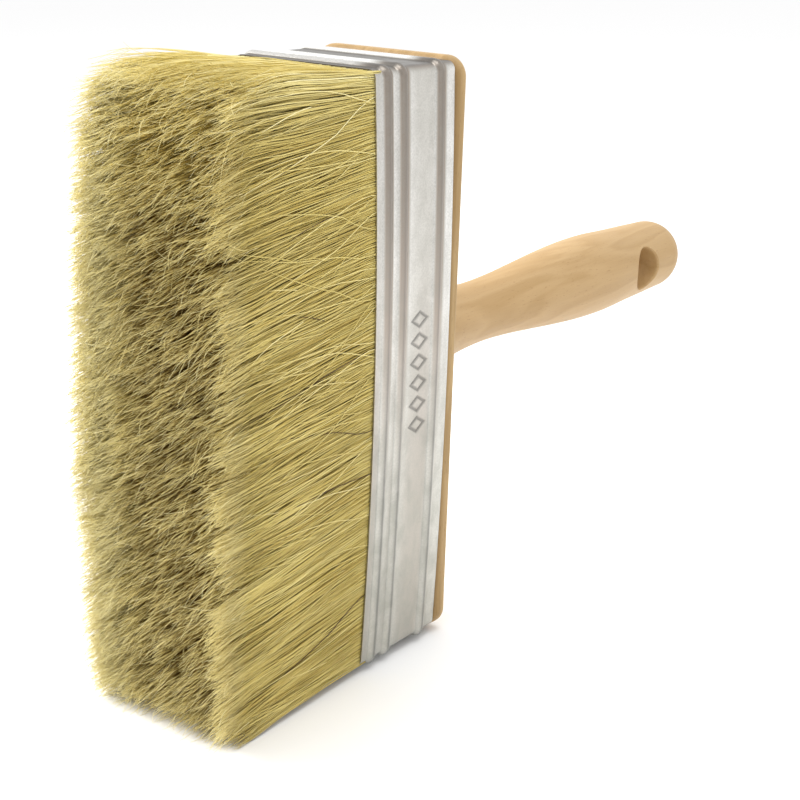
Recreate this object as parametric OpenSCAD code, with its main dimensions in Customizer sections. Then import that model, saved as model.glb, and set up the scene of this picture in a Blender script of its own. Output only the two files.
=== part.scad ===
// Wide block brush for emulsion, paste and whitewash.
// A turned hardwood handle is glued into a hardwood block, and a beaded tinplate ferrule
// holds the block, the resin setting and three packs of natural bristle together.
//
// Drawing frame, in millimetres: X runs along the brush, from 0 at the mouth of the ferrule
// towards the handle, so the bristles are at negative X. Y is the thickness and Z the width.
// The finished part stands on one narrow end, with its lowest point at Z = 0.

/* [Ferrule] */
// Outside width of the ferrule, from one narrow end to the other
ferrule_w = 140; // [80:1:200]
// Outside thickness of the ferrule at its corners
ferrule_t = 40; // [20:1:60]
// Length of the ferrule along the brush
ferrule_len = 29; // [20:0.5:50]
// Outside radius of the four upright corners
ferrule_corner_r = 2; // [1:0.5:8]
// How far the middle of each wide face stands out beyond its corners
face_bow = 1.6; // [0.5:0.1:3]
// Thickness of the tinplate
sheet_t = 0.4; // [0.3:0.1:0.8]
// Height of each pressed bead above the sheet
bead_h = 0.8; // [0.4:0.1:1.2]
// Width of each pressed bead along the brush
bead_w = 3.2; // [2:0.2:5]
// Distances of the three beads from the mouth
bead_at = [3.9, 9.6, 23.4];

/* [Stamped marks] */
// Number of plain lozenges stamped into the near wide face
mark_count = 6; // [0:1:10]
// Distance from one lozenge to the next along the width
mark_pitch = 5.1; // [3:0.1:8]
// Length of a lozenge along the brush
mark_len = 7; // [2:0.2:8]
// Width of a lozenge
mark_w = 4.2; // [2:0.1:5]
// Width of the stamped line
mark_line = 0.7; // [0.4:0.1:1]
// Depth of the stamped line
mark_depth = 0.15; // [0.1:0.05:0.3]
// Distance of the row of lozenges from the mouth
mark_x = 17; // [12:0.1:20]
// Height of the middle of the row above the middle of the face
mark_z = 0; // [-40:0.5:40]

/* [Lap and tacks] */
// Width of the strip where the two ends of the tinplate overlap
lap_w = 10; // [6:1:20]
// Head radius of the tacks that nail the lap to the block
tack_head_r = 1.5; // [1:0.1:2.5]
// Head thickness of the tacks
tack_head_t = 0.45; // [0.3:0.05:1]
// Shank radius of the tacks
tack_shank_r = 0.6; // [0.4:0.1:1]
// Shank length of the tacks
tack_len = 11; // [6:1:20]
// Distances of the tacks from the mouth
tack_at = [18.6, 27.1];

/* [Block] */
// Length of the block inside the ferrule
block_in = 13; // [10:0.5:25]
// Length of the block's flange behind the ferrule
flange_len = 4.4; // [2:0.1:10]
// How far the flange stands out beyond the ferrule's corners
flange_lip = 0.9; // [0.2:0.1:2]
// Rounding of the flange's edges
flange_round = 1.6; // [0.5:0.1:2]
// Radius of the flange's four upright corners
flange_corner_r = 4.9; // [2:0.1:8]
// Gap between the wood and the tinplate around it
wood_gap = 0.05; // [0.02:0.01:0.2]

/* [Handle] */
// Length of the handle behind the block
handle_len = 142.5; // [100:0.5:180]
// Radius of the tenon glued into the block
tenon_r = 7; // [4:0.5:9]
// Depth of the tenon in the block
tenon_len = 14; // [8:0.5:16]
// Radius of the hanging hole
hang_r = 6.2; // [3:0.1:8]
// Distance of the hanging hole from the end of the handle
hang_from_end = 27; // [15:0.5:40]

/* [Bristles] */
// Free length of the bristles beyond the mouth
bristle_len = 47.5; // [30:0.5:90]
// How far the middle of the tips stands out beyond their sides
tip_crown = 2; // [0:0.5:6]
// Length of the bristles inside the ferrule
bristle_in = 11; // [8:0.5:14]
// Sideways spread of the tips at the upper narrow end
spread_top = 4.5; // [0:0.5:10]
// Sideways spread of the tips at the lower narrow end
spread_bottom = 2; // [0:0.5:10]
// Sideways spread of the tips at each wide face
spread_face = 0.8; // [0:0.1:5]
// Thickness of each wooden filler strip between two packs
strip_t = 3; // [1:0.5:6]
// Distance of the filler strips from the mouth
strip_setback = 2; // [0:0.5:6]

/* [Hidden] */
$fn = 96;
pack_count = 3;
corner_y = ferrule_t / 2 - ferrule_corner_r;
corner_z = ferrule_w / 2 - ferrule_corner_r;
// Each wide face is one long arc. Its ends lean by face_lean, where it meets the corners.
face_lean = 2 * atan(face_bow / corner_z);
face_r = ferrule_corner_r + corner_z / sin(face_lean);
face_centre_y = corner_y + (ferrule_corner_r - face_r) * cos(face_lean);
face_sides = 1440;
flange_y = ferrule_t / 2 + flange_lip - flange_corner_r;
flange_z = ferrule_w / 2 + flange_lip - flange_corner_r;
// The lozenge inside the stamped line, as a share of the one outside it
mark_inner = 1 - 2 * mark_line * norm([mark_len, mark_w]) / (mark_len * mark_w);
mark_reach = 2;
block_front = ferrule_len - block_in;
block_back = ferrule_len + flange_len;
hang_at = block_back + handle_len - hang_from_end;
lap_t = 0.3;
bead_steps = 7;
face_steps = 6;
corner_steps = 5;
lap_inset = 0.3;
tip_x = -bristle_len - tip_crown;
// Shape of the bristles' outline, as shares of the spread, the crown and the half width
spread_at_middle = 0.6;
shoulder_share = 0.8;
shoulder_z = 0.6;
tip_bevel = 1;
centre_x = (tip_x + block_back + handle_len) / 2;
floor_z = ferrule_w / 2 + spread_bottom;
pack_pitch = (ferrule_t - 2 * sheet_t - 2 * wood_gap - (pack_count - 1) * strip_t) / pack_count + strip_t;
pack_t = pack_pitch - strip_t;

// Radius of the turned handle, as [distance behind the block, radius]
handle_stations = [
    [0, 12.6],
    [5, 11.9],
    [14, 10.1],
    [24, 8.75],
    [36, 8.15],
    [48, 8.55],
    [60, 9.5],
    [74, 10.7],
    [86, 11.45],
    [98, 11.65],
    [110, 11.15],
    [122, 10.75],
    [132, 10.4]
];

// Moves the drawing frame to the standing part's frame.
module placed() {
    translate([-centre_x, 0, floor_z])
        children();
}

// Turns a plan drawn as (thickness, width) and extruded upwards to run along the brush.
module along_brush(x) {
    translate([x, 0, 0])
        rotate([90, 0, 90])
            children();
}

// Outside position of the wide face at height z.
function face_y(z) = face_centre_y + sqrt(face_r * face_r - z * z);

// Plan of the ferrule's bowed outline, drawn inset from its outside surface.
module bowed_plan(inset) {
    half_z = ferrule_w / 2 - inset;
    arc_z = corner_z + (ferrule_corner_r - inset) * sin(face_lean);
    square([2 * corner_y, 2 * half_z], center = true);
    for (side_y = [-1, 1]) {
        for (side_z = [-1, 1]) {
            translate([side_y * corner_y, side_z * corner_z])
                circle(r = ferrule_corner_r - inset);
        }
        intersection() {
            translate([side_y * face_centre_y, 0])
                circle(r = face_r - inset, $fn = face_sides);
            translate([side_y * ferrule_t / 2, 0])
                square([ferrule_t, 2 * arc_z], center = true);
        }
    }
}

// Height of the beads above the sheet at distance x from the mouth.
function bead_rise(x) = bead_h * max([for (at = bead_at) max(0, 1 - pow(2 * (x - at) / bead_w, 2))]);

// Distances from the mouth at which the section of the sheet changes.
sheet_stops = concat(
    [0],
    [for (at = bead_at) for (i = [0:bead_steps]) at - bead_w / 2 + i * bead_w / bead_steps],
    [ferrule_len]
);

// Section through the sheet as [distance out from the outline, distance from the mouth].
sheet_section = concat(
    [for (x = sheet_stops) [bead_rise(x), x]],
    [for (i = [len(sheet_stops) - 1:-1:0]) [bead_rise(sheet_stops[i]) - sheet_t, sheet_stops[i]]]
);

// The same distances for the lap, which stops a little short of both rims.
lap_stops = concat(
    [lap_inset],
    [for (x = sheet_stops) if (x > lap_inset && x < ferrule_len - lap_inset) x],
    [ferrule_len - lap_inset]
);

// A quarter of the ferrule's bowed outline, as [angle of its normal, Y, Z] going up the +Y side.
function outline_corner(angle, r) = [angle, corner_y + r * cos(angle), corner_z + r * sin(angle)];
function outline_face(angle, r) = [angle, face_centre_y + r * cos(angle), r * sin(angle)];
face_half = [for (i = [0:face_steps - 1]) outline_face(face_lean * i / face_steps, face_r)];
corner_quarter = [for (i = [0:corner_steps])
    outline_corner(face_lean + (90 - face_lean) * i / corner_steps, ferrule_corner_r)];
outline_quarter = concat(face_half, corner_quarter);
quarter_last = len(outline_quarter) - 1;

// The whole outline, turned round once, from its four quarters.
outline = concat(
    outline_quarter,
    [for (i = [quarter_last:-1:1]) mirrored(outline_quarter[i])],
    [for (p = outline_quarter) [p[0] + 180, -p[1], -p[2]]],
    [for (i = [quarter_last:-1:1]) [mirrored(outline_quarter[i])[0] + 180,
        outline_quarter[i][1], -outline_quarter[i][2]]]
);
function mirrored(p) = [180 - p[0], -p[1], p[2]];

// The beaded sheet: its section carried once round the outline.
module beaded_band() {
    turns = len(outline);
    count = len(sheet_section);
    polyhedron(
        points = [for (p = outline) for (q = sheet_section)
            [q[1], p[1] + q[0] * cos(p[0]), p[2] + q[0] * sin(p[0])]],
        faces = [for (i = [0:turns - 1]) for (j = [0:count - 1])
            [i * count + j,
                i * count + (j + 1) % count,
                ((i + 1) % turns) * count + (j + 1) % count,
                ((i + 1) % turns) * count + j]]
    );
}

// Straight run of a section across the upper narrow end, starting at height z.
module end_run(run, z) {
    translate([-run / 2, z, 0])
        rotate([90, 0, 90])
            linear_extrude(run)
                children();
}

// One stamped lozenge outline, cut through from outside the near wide face.
module mark_cut(z) {
    translate([mark_x, -face_y(z) + mark_depth, z])
        rotate([90, 0, 0])
            linear_extrude(mark_reach)
                difference() {
                    lozenge(mark_len, mark_w);
                    lozenge(mark_len * mark_inner, mark_w * mark_inner);
                }
}

module lozenge(length, width) {
    polygon([[-length / 2, 0], [0, -width / 2], [length / 2, 0], [0, width / 2]]);
}

// Outer end of the sheet, lapped over the lower narrow end between the beads' feet.
module lap() {
    along_brush(0)
        rotate([0, 0, 180])
            end_run(lap_w, corner_z)
                polygon(concat(
                    [for (x = lap_stops) [ferrule_corner_r + bead_rise(x) + lap_t, x]],
                    [for (i = [len(lap_stops) - 1:-1:0])
                        [ferrule_corner_r + bead_rise(lap_stops[i]) - sheet_t / 2, lap_stops[i]]]
                ));
}

// Beaded tinplate band with its lap, its stamped row and the holes for its tacks.
module ferrule() {
    placed() color([0.82, 0.81, 0.78]) difference() {
        union() {
            beaded_band();
            lap();
        }
        for (i = [0:1:mark_count - 1]) {
            mark_cut(mark_z + (i - (mark_count - 1) / 2) * mark_pitch);
        }
        for (x = tack_at) {
            tack_shape(x);
        }
    }
}

// One flat-headed tack, driven upwards through the lap into the block.
module tack_shape(x) {
    head_z = -ferrule_w / 2 - lap_t;
    translate([x, 0, head_z - tack_head_t])
        cylinder(r = tack_head_r, h = tack_head_t);
    translate([x, 0, head_z - tack_head_t / 2])
        cylinder(r = tack_shank_r, h = tack_len + tack_head_t / 2);
}

// The tacks through the lap.
module ferrule_tacks() {
    placed() color([0.75, 0.75, 0.74])
        for (x = tack_at) {
            tack_shape(x);
        }
}

// Rounded edge of the flange, with its distance from the corner's centre along x.
module flange_edge(r) {
    square([r - flange_round, flange_len]);
    translate([0, flange_round])
        square([r, flange_len - 2 * flange_round]);
    for (y = [flange_round, flange_len - flange_round]) {
        translate([r - flange_round, y])
            circle(r = flange_round);
    }
}

// Flange of the block, rounded on every outside edge.
module flange() {
    translate([-flange_y, -flange_z, 0])
        cube([2 * flange_y, 2 * flange_z, flange_len]);
    for (turn = [0, 180]) {
        rotate([0, 0, turn]) {
            end_run(2 * flange_y, flange_z)
                flange_edge(flange_corner_r);
            translate([flange_y, flange_z, 0])
                rotate([90, 0, 0])
                    linear_extrude(2 * flange_z)
                        flange_edge(flange_corner_r);
            translate([flange_y, flange_z, 0])
                rotate_extrude(angle = 90)
                    flange_edge(flange_corner_r);
            translate([flange_y, -flange_z, 0])
                rotate([0, 0, -90])
                    rotate_extrude(angle = 90)
                        flange_edge(flange_corner_r);
        }
    }
}

// Hardwood block, with a blind socket for the handle's tenon.
module block() {
    placed() color([0.80, 0.58, 0.36]) difference() {
        union() {
            along_brush(block_front)
                linear_extrude(block_in)
                    bowed_plan(sheet_t + wood_gap);
            along_brush(ferrule_len)
                flange();
        }
        translate([block_back - tenon_len, 0, 0])
            rotate([0, 90, 0])
                cylinder(r = tenon_r + wood_gap, h = tenon_len + 1);
        for (x = tack_at) {
            tack_shape(x);
        }
    }
}

// Smooth curve through the handle's stations: the radius at distance s behind the block.
function curve_point(a, b, c, d, t) = b + (c - a) * t / 2
    + (a - 2.5 * b + 2 * c - d / 2) * t * t
    + (1.5 * b - a / 2 - 1.5 * c + d / 2) * t * t * t;
function station(i) = handle_stations[max(0, min(len(handle_stations) - 1, i))];
handle_curve = [for (i = [0:len(handle_stations) - 2]) for (t = [0:0.25:0.75])
    curve_point(station(i - 1), station(i), station(i + 1), station(i + 2), t)];

// Quarter of a squared ellipse for the handle's end.
nose_start = station(len(handle_stations) - 1);
nose_power = 2.15;
function nose_point(a) = [
    nose_start[0] + (handle_len - nose_start[0]) * pow(sin(a), 2 / nose_power),
    nose_start[1] * pow(cos(a), 2 / nose_power)
];
nose_curve = [for (a = [0:9:81]) nose_point(a)];

// Turned handle with its tenon and the hole it hangs by.
module handle() {
    placed() color([0.88, 0.74, 0.52]) difference() {
        union() {
            translate([block_back, 0, 0])
                rotate([0, 90, 0])
                    rotate_extrude()
                        polygon(concat(
                            [[0, 0]],
                            [for (p = handle_curve) [p[1], p[0]]],
                            [for (p = nose_curve) [p[1], p[0]]],
                            [[0, handle_len]]
                        ));
            translate([block_back - tenon_len, 0, 0])
                rotate([0, 90, 0])
                    cylinder(r = tenon_r, h = tenon_len + 1);
        }
        translate([hang_at, ferrule_t / 2, 0])
            rotate([90, 0, 0])
                cylinder(r = hang_r, h = ferrule_t);
    }
}

// Hardened resin that holds the bristle butts against the block.
module resin_setting() {
    placed() color([0.45, 0.30, 0.16])
        along_brush(bristle_in)
            linear_extrude(block_front - bristle_in)
                bowed_plan(sheet_t + wood_gap);
}

// Wooden strip that parts two packs at the mouth; side is -1 for the near one.
module filler_strip(side) {
    placed() color([0.82, 0.66, 0.45])
        translate([strip_setback, side * pack_pitch / 2 - strip_t / 2, -corner_z])
            cube([bristle_in - strip_setback, strip_t, 2 * corner_z]);
}

// Outline of the bristles seen across the wide face, as (X, Z).
module fan_side() {
    half = ferrule_w / 2 - sheet_t - wood_gap;
    low = -ferrule_w / 2 - spread_bottom;
    high = ferrule_w / 2 + spread_top;
    middle_x = -bristle_len / 2;
    shoulder_x = -bristle_len - shoulder_share * tip_crown;
    polygon([
        [0, -half],
        [middle_x, low + (1 - spread_at_middle) * spread_bottom],
        [-bristle_len + tip_bevel, low],
        [-bristle_len, low + tip_bevel],
        [shoulder_x, -shoulder_z * half],
        [tip_x, 0],
        [shoulder_x, shoulder_z * half],
        [-bristle_len, high - tip_bevel],
        [-bristle_len + tip_bevel, high],
        [middle_x, high - (1 - spread_at_middle) * spread_top],
        [0, half]
    ]);
}

// Outline of one pack seen from above, as (X, Y), from its sides at the mouth and at the tips.
module fan_top(mouth_low, mouth_high, tip_low, tip_high) {
    polygon([[0, mouth_low], [tip_x, tip_low], [tip_x, tip_high], [0, mouth_high]]);
}

// One pack of bristle: its butts in the ferrule and its spread beyond the mouth.
// The index is -1 for the near pack, 0 for the middle one and 1 for the far one.
module bristle_pack(index) {
    outside = face_y(0) - sheet_t - wood_gap;
    low = index < 0 ? -outside : (index - 0.5) * pack_pitch + strip_t / 2;
    high = index > 0 ? outside : (index + 0.5) * pack_pitch - strip_t / 2;
    tip_pitch = 2 * (ferrule_t / 2 + face_bow + spread_face) / pack_count;
    placed() color([0.78, 0.70, 0.44]) {
        intersection() {
            along_brush(0)
                linear_extrude(bristle_in)
                    bowed_plan(sheet_t + wood_gap);
            translate([0, low, -ferrule_w])
                cube([bristle_in, high - low, 2 * ferrule_w]);
        }
        intersection() {
            translate([0, ferrule_t, 0])
                rotate([90, 0, 0])
                    linear_extrude(2 * ferrule_t)
                        fan_side();
            translate([0, 0, -ferrule_w])
                linear_extrude(2 * ferrule_w)
                    fan_top(low, high, (index - 0.5) * tip_pitch + wood_gap,
                        (index + 0.5) * tip_pitch - wood_gap);
        }
    }
}

module filler_strip_near() {
    filler_strip(-1);
}

module filler_strip_far() {
    filler_strip(1);
}

module bristles_near() {
    bristle_pack(-1);
}

module bristles_middle() {
    bristle_pack(0);
}

module bristles_far() {
    bristle_pack(1);
}

handle();
block();
ferrule();
ferrule_tacks();
resin_setting();
filler_strip_near();
filler_strip_far();
bristles_near();
bristles_middle();
bristles_far();
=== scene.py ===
"""Visual model of a wide block brush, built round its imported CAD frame.

Lengths in the constants are in millimetres unless a comment says metres, in the brush's own
drawing frame: X runs from 0 at the ferrule's mouth towards the handle, Y is the thickness and Z
the width, with 0 in the middle. The near wide face is on the -Y side.
"""
import math
import bpy
import numpy as np
from mathutils import Matrix, Vector


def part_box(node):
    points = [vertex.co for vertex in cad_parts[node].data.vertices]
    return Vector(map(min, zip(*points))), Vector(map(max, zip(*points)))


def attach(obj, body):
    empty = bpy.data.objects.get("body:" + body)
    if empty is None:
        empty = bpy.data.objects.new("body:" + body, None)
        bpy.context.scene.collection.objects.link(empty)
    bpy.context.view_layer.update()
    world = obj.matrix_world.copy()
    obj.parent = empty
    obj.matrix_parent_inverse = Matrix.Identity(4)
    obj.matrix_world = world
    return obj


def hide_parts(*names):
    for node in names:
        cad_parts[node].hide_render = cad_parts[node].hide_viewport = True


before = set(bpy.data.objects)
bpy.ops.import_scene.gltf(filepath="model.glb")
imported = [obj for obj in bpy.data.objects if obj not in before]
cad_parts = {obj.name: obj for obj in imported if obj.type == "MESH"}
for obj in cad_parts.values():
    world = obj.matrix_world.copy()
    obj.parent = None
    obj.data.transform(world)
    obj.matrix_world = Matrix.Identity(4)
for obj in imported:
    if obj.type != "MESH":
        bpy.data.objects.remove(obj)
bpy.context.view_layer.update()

MM = 0.001
SEED = 20

# ------ Sizes that the CAD frame also has ------
FERRULE_HALF_W = 70.0
FERRULE_HALF_T = 20.0
FERRULE_LEN = 29.0
FERRULE_CORNER_R = 2.0
SHEET_T = 0.4
BEADS_AT = (3.9, 9.6, 23.4)
BEAD_W = 3.2
BEAD_H = 0.8
FLANGE_LEN = 4.4
HANDLE_LEN = 142.5
TENON_R = 7.0
TENON_LEN = 14.0
HANG_R = 6.2
HANG_FROM_END = 27.0
BRISTLE_LEN = 47.5

# The wide faces bow outwards, more at the mouth than at the block.
BOW_AT_MOUTH = 1.95
BOW_AT_BLOCK = 1.3

# The drawing frame's origin in the row frame: the ferrule's mouth, half way up the block.
block_low, block_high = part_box("block")
mouth_x = block_high.x - (FERRULE_LEN + FLANGE_LEN) * MM
MOUTH = Vector((mouth_x, 0.0, (block_low.z + block_high.z) / 2))


def placed(points):
    """Points of the drawing frame, in millimetres, as points of the row frame, in metres."""
    return np.asarray(points, float) * MM + np.array(MOUTH)


def linked(name, data):
    """A new object of the scene."""
    obj = bpy.data.objects.new(name, data)
    bpy.context.scene.collection.objects.link(obj)
    return obj


# ------ Camera ------
CAMERA_AT = (-262.7, -222.1, 106.1)
CAMERA_FORWARD = (0.7655, 0.5627, -0.3120)
CAMERA_UP = (0.2323, 0.2106, 0.9496)
CAMERA_LENS = 69.93
CAMERA_SENSOR = 36.0
# Nearest and farthest, in metres
CAMERA_CLIP = (0.01, 20.0)


def make_camera():
    """The main view: from beyond the tips, to the near side and a little above."""
    data = bpy.data.cameras.new("camera")
    data.lens = CAMERA_LENS
    data.sensor_width = CAMERA_SENSOR
    data.clip_start, data.clip_end = CAMERA_CLIP
    camera = linked("camera", data)
    back = -Vector(CAMERA_FORWARD).normalized()
    right = Vector(CAMERA_UP).cross(back).normalized()
    up = back.cross(right)
    turn = Matrix((right, up, back)).transposed()
    camera.rotation_mode = "QUATERNION"
    camera.rotation_quaternion = turn.to_quaternion()
    camera.location = Vector(placed(CAMERA_AT))
    bpy.context.scene.camera = camera


# ------ Small helpers for meshes ------
def new_object(name, points, faces, material):
    """A smooth-shaded mesh object from points of the drawing frame and lists of corner indices."""
    mesh = bpy.data.meshes.new(name)
    mesh.from_pydata([tuple(p) for p in placed(points)], [], faces)
    mesh.validate()
    mesh.polygons.foreach_set("use_smooth", [True] * len(mesh.polygons))
    mesh.materials.append(material)
    return linked(name, mesh)


def add_tones(obj, name, tones):
    """Stores a colour for each of the mesh's points."""
    layer = obj.data.color_attributes.new(name, "FLOAT_COLOR", "POINT")
    layer.data.foreach_set("color", np.asarray(tones, np.float32).ravel())


def sharpen(obj, degrees):
    """Keeps edges sharper than this angle crisp under smooth shading."""
    obj.data.set_sharp_from_angle(angle=math.radians(degrees))


def smoothstep(x):
    """0 below 0, 1 above 1, and an S curve between."""
    x = np.clip(x, 0.0, 1.0)
    return x * x * (3 - 2 * x)


# ------ Small helpers for materials ------
def srgb(r, g, b):
    """A colour given as 0 to 255 screen values, as linear RGBA."""
    return tuple(
        (v / 255 / 12.92 if v <= 10 else ((v / 255 + 0.055) / 1.055) ** 2.4) for v in (r, g, b)
    ) + (1.0,)


class Nodes:
    """A material with a Principled shader, and short ways to add nodes to it."""

    def __init__(self, name):
        self.material = bpy.data.materials.new(name)
        self.material.use_nodes = True
        self.tree = self.material.node_tree
        self.shader = self.tree.nodes["Principled BSDF"]

    def add(self, kind, **inputs):
        node = self.tree.nodes.new(kind)
        for key, value in inputs.items():
            self.feed(node, key.replace("_", " "), value)
        return node

    def feed(self, node, socket, value):
        """Links an output into a socket, or sets the socket to a plain value."""
        target = node.inputs[socket]
        if isinstance(value, bpy.types.NodeSocket):
            self.tree.links.new(value, target)
        else:
            target.default_value = value

    def math(self, operation, a, b=None):
        node = self.tree.nodes.new("ShaderNodeMath")
        node.operation = operation
        self.feed(node, 0, a)
        if b is not None:
            self.feed(node, 1, b)
        return node.outputs[0]

    def place(self, scale=(1, 1, 1), offset=(0, 0, 0)):
        """Object coordinates in millimetres, stretched by scale."""
        coords = self.tree.nodes.new("ShaderNodeTexCoord")
        mapping = self.add("ShaderNodeMapping", Vector=coords.outputs["Object"])
        mapping.inputs["Scale"].default_value = tuple(1000 * s for s in scale)
        mapping.inputs["Location"].default_value = offset
        return mapping.outputs[0]

    def attribute(self, name):
        """The red, green and blue values of a colour attribute."""
        node = self.tree.nodes.new("ShaderNodeAttribute")
        node.attribute_name = name
        return self.add("ShaderNodeSeparateColor", Color=node.outputs["Color"]).outputs

    def noise(self, vector, scale, detail=2.0, roughness=0.5, distortion=0.0):
        node = self.add("ShaderNodeTexNoise", Vector=vector, Scale=scale, Detail=detail)
        node.inputs["Roughness"].default_value = roughness
        node.inputs["Distortion"].default_value = distortion
        return node.outputs["Fac"]

    def ramp(self, value, *stops):
        """Colour ramp from (position, colour) stops."""
        node = self.add("ShaderNodeValToRGB", Fac=value)
        elements = node.color_ramp.elements
        while len(elements) < len(stops):
            elements.new(0.5)
        for element, (position, colour) in zip(elements, stops):
            element.position = position
            element.color = colour
        return node.outputs["Color"]

    def remap(self, value, low, high, to_low, to_high):
        node = self.add("ShaderNodeMapRange", Value=value)
        ends = {"From Min": low, "From Max": high, "To Min": to_low, "To Max": to_high}
        for key, number in ends.items():
            node.inputs[key].default_value = number
        return node.outputs[0]

    def mix(self, factor, a, b):
        node = self.tree.nodes.new("ShaderNodeMix")
        node.data_type = "RGBA"
        self.feed(node, 0, factor)
        self.feed(node, 6, a)
        self.feed(node, 7, b)
        return node.outputs[2]

    def bump(self, height, strength, distance):
        node = self.add("ShaderNodeBump", Height=height, Strength=strength, Distance=distance)
        self.feed(self.shader, "Normal", node.outputs[0])


# Beech: rings across the drift of its grain, and painted shade in the corner against the ferrule
RING_COUNT = 6.0
CORNER_LEN = 4.2
CORNER_SHADE = 0.55


def beech_material(name, pale, dark, fleck_and_shade, upright, corner_at=None):
    """Sealed beech, its grain along X or upright along Z, with painted shade just behind corner_at."""
    def along_grain(along, across):
        return (across, across, along) if upright else (along, across, across)

    m = Nodes(name)
    drift = m.noise(m.place(along_grain(0.012, 0.07)), 1.0, detail=3.0, distortion=0.6)
    bands = m.math("FRACT", m.math("MULTIPLY", drift, RING_COUNT))
    band_tone = m.ramp(bands, (0.0, (0, 0, 0, 1)), (0.72, (0.75, 0.75, 0.75, 1)), (1.0, (0, 0, 0, 1)))
    streaks = m.noise(m.place(along_grain(0.06, 1.8)), 1.0, detail=4.0, roughness=0.65)
    tone = m.math("ADD", m.math("MULTIPLY", band_tone, 0.45), m.math("MULTIPLY", streaks, 0.55))
    colour = m.ramp(tone, (0.25, dark), (0.62, pale))
    fleck_field = m.noise(m.place(along_grain(0.55, 3.4), (3.1, 1.7, 0.4)), 1.0, detail=1.0)
    fleck_mask = m.remap(fleck_field, 0.66, 0.74, 0.0, 0.5)
    colour = m.mix(fleck_mask, colour, fleck_and_shade)
    # Painted shade in the fleck colour, just behind the corner against the ferrule
    if corner_at is not None:
        along = m.add("ShaderNodeSeparateXYZ", Vector=m.place()).outputs[0]
        corner = m.remap(along, corner_at, corner_at + CORNER_LEN, CORNER_SHADE, 0.0)
        colour = m.mix(corner, colour, fleck_and_shade)
    m.feed(m.shader, "Base Color", colour)
    m.feed(m.shader, "Roughness", m.remap(streaks, 0.3, 0.7, 0.42, 0.56))
    m.shader.inputs["Specular IOR Level"].default_value = 0.35
    height = m.math("SUBTRACT", m.math("MULTIPLY", streaks, 0.5), m.math("MULTIPLY", fleck_mask, 0.4))
    m.bump(height, 0.12, 0.0004)
    return m.material


def tinplate_material():
    """Satin tinplate, faintly clouded. The sheet attribute holds its tone of painted reflection and
    highlight, its painted shade in the folds, stamped lines and top flats, and its height, for painted
    shade towards the bottom.
    """
    m = Nodes("tinplate")
    m.shader.inputs["Metallic"].default_value = 1.0
    tone, painted_shade, height = m.attribute("sheet")
    cloud = m.noise(m.place((0.30, 0.30, 0.16)), 1.0, detail=4.0, roughness=0.55, distortion=0.4)
    grain = m.noise(m.place((2.4, 2.4, 2.4)), 1.0, detail=2.0, roughness=0.6)
    # Painted reflection and highlight: the tone ramp runs from brown-grey to near white
    plain = m.ramp(
        tone,
        (0.00, srgb(130, 120, 110)),
        (0.25, srgb(173, 161, 150)),
        (0.50, srgb(206, 203, 196)),
        (1.00, srgb(253, 252, 250)),
    )
    # Random clouding, with painted shade that grows towards the bottom
    cloud_and_low_shade = m.math("MULTIPLY", m.remap(cloud, 0.36, 0.62, 0.60, 0.0), m.remap(height, 0.0, 1.0, 1.0, 0.35))
    clouded = m.mix(cloud_and_low_shade, plain, srgb(164, 162, 153))
    grained = m.mix(m.remap(grain, 0.32, 0.68, 0.34, 0.0), clouded, srgb(158, 156, 149))
    # Painted shade: greyer towards the bottom
    shaded_below = m.mix(m.remap(height, 0.0, 1.0, 0.30, 0.0), grained, srgb(166, 169, 160))
    # Painted shade on the bead crests and feet, in the stamped lines and on the top flats
    with_painted_shade = m.mix(m.math("MULTIPLY", painted_shade, 0.85), shaded_below, srgb(70, 70, 70))
    m.feed(m.shader, "Base Color", with_painted_shade)
    m.feed(m.shader, "Roughness", m.remap(cloud, 0.35, 0.65, 0.42, 0.32))
    m.bump(grain, 0.10, 0.00012)
    return m.material


def steel_material():
    """Plain drawn wire steel for the tacks."""
    m = Nodes("tack_steel")
    m.shader.inputs["Metallic"].default_value = 1.0
    grain = m.noise(m.place((3.0, 3.0, 0.6)), 1.0, detail=3.0)
    m.feed(m.shader, "Base Color", m.ramp(grain, (0.3, srgb(150, 150, 148)), (0.7, srgb(205, 204, 200))))
    m.feed(m.shader, "Roughness", m.remap(grain, 0.3, 0.7, 0.45, 0.3))
    m.bump(grain, 0.15, 0.0001)
    return m.material


def resin_material():
    """Dark amber casting resin with small bubbles."""
    m = Nodes("resin")
    cloud = m.noise(m.place((0.3, 0.3, 0.3)), 1.0, detail=3.0)
    bubbles = m.noise(m.place((2.2, 2.2, 2.2)), 1.0, detail=1.0)
    m.feed(m.shader, "Base Color", m.ramp(cloud, (0.3, srgb(96, 62, 34)), (0.7, srgb(150, 104, 60))))
    m.feed(m.shader, "Roughness", m.remap(bubbles, 0.3, 0.7, 0.25, 0.4))
    m.bump(bubbles, 0.3, 0.0003)
    return m.material


def bristle_material():
    """Pale hog bristle. The strand attribute holds a tint with painted light, the way along, and how
    unshaded it lies between strands, for painted shade.
    """
    m = Nodes("bristle")
    tint, along, unshaded = m.attribute("strand")
    body = m.ramp(
        tint,
        (0.00, srgb(74, 51, 22)),
        (0.03, srgb(163, 126, 46)),
        (0.35, srgb(203, 181, 98)),
        (0.70, srgb(221, 204, 129)),
        (0.90, srgb(238, 223, 154)),
        (1.00, srgb(249, 238, 182)),
    )
    pale = m.mix(m.remap(along, 0.86, 1.0, 0.0, 0.45), body, srgb(240, 229, 174))
    # Painted shade between strands, towards a deep brown
    shaded = m.mix(m.remap(unshaded, 0.0, 0.9, 0.95, 0.0), pale, srgb(104, 70, 4))
    m.feed(m.shader, "Base Color", shaded)
    m.feed(m.shader, "Roughness", m.remap(tint, 0.0, 1.0, 0.42, 0.55))
    m.shader.inputs["Specular IOR Level"].default_value = 0.22
    return m.material


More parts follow.
